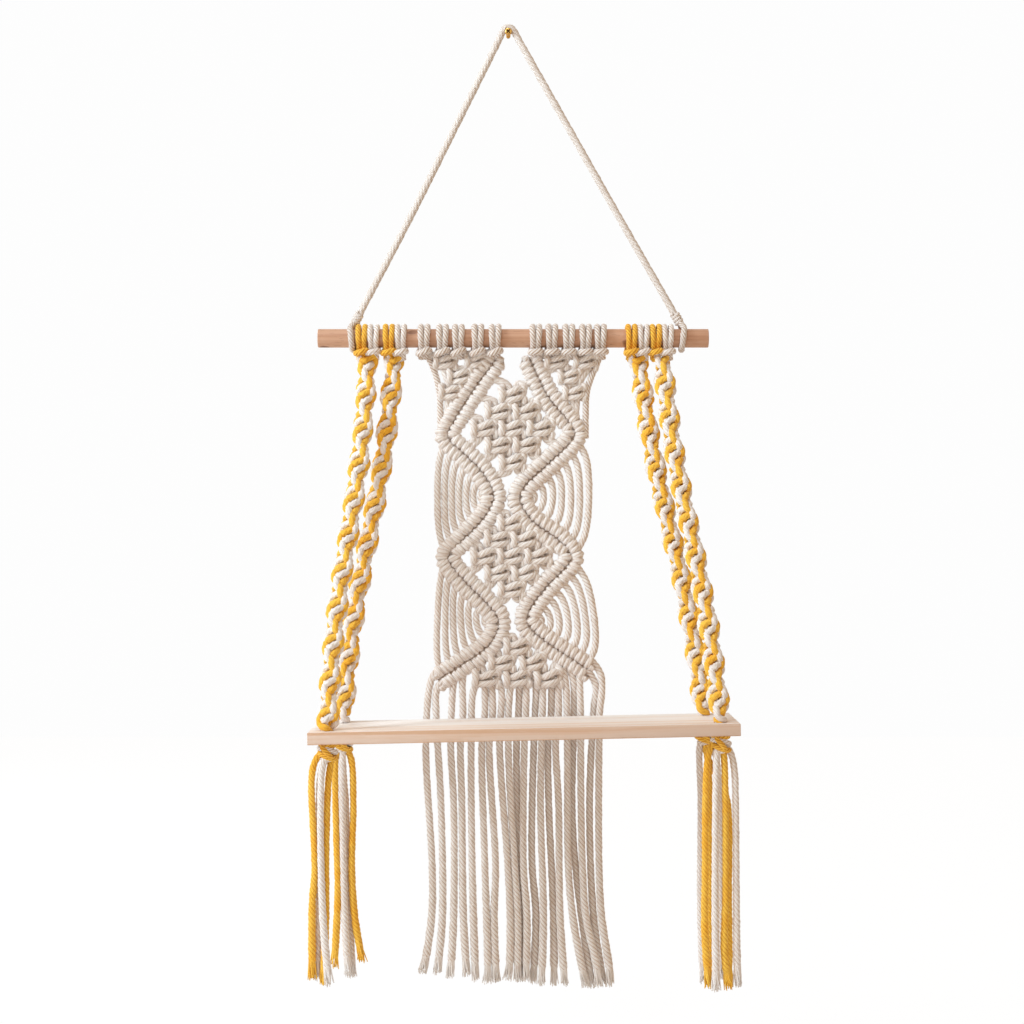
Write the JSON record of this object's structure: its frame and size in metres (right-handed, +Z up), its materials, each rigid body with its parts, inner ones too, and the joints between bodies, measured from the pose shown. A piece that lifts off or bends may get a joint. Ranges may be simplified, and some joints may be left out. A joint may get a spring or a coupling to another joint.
{
  "type": "hanging rope shelf",
  "caption": "Wall-hung shelf: a wooden board on twisted ropes under a dowel, with a knotted rope panel and fringe behind it and tassels below.",
  "frame": {"origin": "where the screw enters the wall, on the screw's axis", "axes": "+X to the right along the dowel, +Y into the wall, +Z up"},
  "size_m": [0.4222, 0.174, 0.9922],
  "materials": {
    "cream_rope": "matt cotton rope",
    "yellow_rope": "matt cotton rope",
    "dowel_wood": "sanded beech, unvarnished",
    "board_wood": "sanded pine, unvarnished",
    "screw_brass": "polished"
  },
  "bodies": {
    "wall": {"wall_screw": "screw_brass"},
    "hanger": {"hanger_cord": "cream_rope", "hanger_knot_left": "cream_rope", "hanger_knot_right": "cream_rope", "dowel": "dowel_wood"},
    "shelf": {"shelf_board": "board_wood", "sennit_front_left": "cream_rope", "sennit_back_left": "cream_rope", "sennit_back_right": "cream_rope", "sennit_front_right": "cream_rope", "stop_knot_front_left": "cream_rope", "stop_knot_back_left": "cream_rope", "stop_knot_back_right": "cream_rope", "stop_knot_front_right": "cream_rope"},
    "panel": {"panel_heads_left": "cream_rope", "panel_heads_right": "cream_rope", "panel_outer_ridge_left": "cream_rope", "panel_outer_ridge_right": "cream_rope", "panel_inner_ridge_left": "cream_rope", "panel_inner_ridge_right": "cream_rope", "net_upper": "cream_rope", "net_middle": "cream_rope", "net_lower": "cream_rope", "fringe_cord_01": "cream_rope", "fringe_cord_02": "cream_rope", "fringe_cord_03": "cream_rope", "fringe_cord_04": "cream_rope", "fringe_cord_05": "cream_rope", "fringe_cord_06": "cream_rope", "fringe_cord_07": "cream_rope", "fringe_cord_08": "cream_rope", "fringe_cord_09": "cream_rope", "fringe_cord_10": "cream_rope", "fringe_cord_11": "cream_rope", "fringe_cord_12": "cream_rope", "fringe_cord_13": "cream_rope", "fringe_cord_14": "cream_rope", "fringe_cord_15": "cream_rope", "fringe_cord_16": "cream_rope", "fringe_cord_17": "cream_rope", "fringe_cord_18": "cream_rope", "fringe_cord_19": "cream_rope", "fringe_cord_20": "cream_rope"},
    "tassel_front_left": {"tassel_cord_front_left_1": "yellow_rope", "tassel_cord_front_left_2": "cream_rope", "tassel_cord_front_left_3": "yellow_rope", "tassel_cord_front_left_4": "cream_rope"},
    "tassel_back_left": {"tassel_cord_back_left_1": "yellow_rope", "tassel_cord_back_left_2": "cream_rope", "tassel_cord_back_left_3": "yellow_rope", "tassel_cord_back_left_4": "cream_rope"},
    "tassel_back_right": {"tassel_cord_back_right_1": "cream_rope", "tassel_cord_back_right_2": "yellow_rope", "tassel_cord_back_right_3": "cream_rope", "tassel_cord_back_right_4": "yellow_rope"},
    "tassel_front_right": {"tassel_cord_front_right_1": "yellow_rope", "tassel_cord_front_right_2": "cream_rope", "tassel_cord_front_right_3": "yellow_rope", "tassel_cord_front_right_4": "cream_rope"}
  },
  "joints": [
    {"name": "sway", "type": "hinge", "parent": "wall", "child": "hanger", "pos_m": [0, -0.004, 0], "axis": [0, 1, 0], "range_deg": [-10, 10]},
    {"name": "shelf_swing", "type": "hinge", "parent": "hanger", "child": "shelf", "pos_m": [0.005, -0.016, -0.316], "axis": [-1, 0, 0], "range_deg": [0, 20]},
    {"name": "panel_swing", "type": "hinge", "parent": "hanger", "child": "panel", "pos_m": [0.005, -0.016, -0.316], "axis": [-1, 0, 0], "range_deg": [-0.6, 0.6]},
    {"name": "tassel_swing_front_left", "type": "hinge", "parent": "shelf", "child": "tassel_front_left", "pos_m": [-0.17622, -0.131, -0.72805], "axis": [0, 1, 0], "range_deg": [-12, 12]},
    {"name": "tassel_swing_back_left", "type": "hinge", "parent": "shelf", "child": "tassel_back_left", "pos_m": [-0.16722, -0.046, -0.72785], "axis": [0, 1, 0], "range_deg": [-12, 12]},
    {"name": "tassel_swing_back_right", "type": "hinge", "parent": "shelf", "child": "tassel_back_right", "pos_m": [0.1987, -0.046, -0.72], "axis": [0, 1, 0], "range_deg": [-12, 12]},
    {"name": "tassel_swing_front_right", "type": "hinge", "parent": "shelf", "child": "tassel_front_right", "pos_m": [0.2077, -0.131, -0.7198], "axis": [0, 1, 0], "range_deg": [-12, 12]}
  ]
}
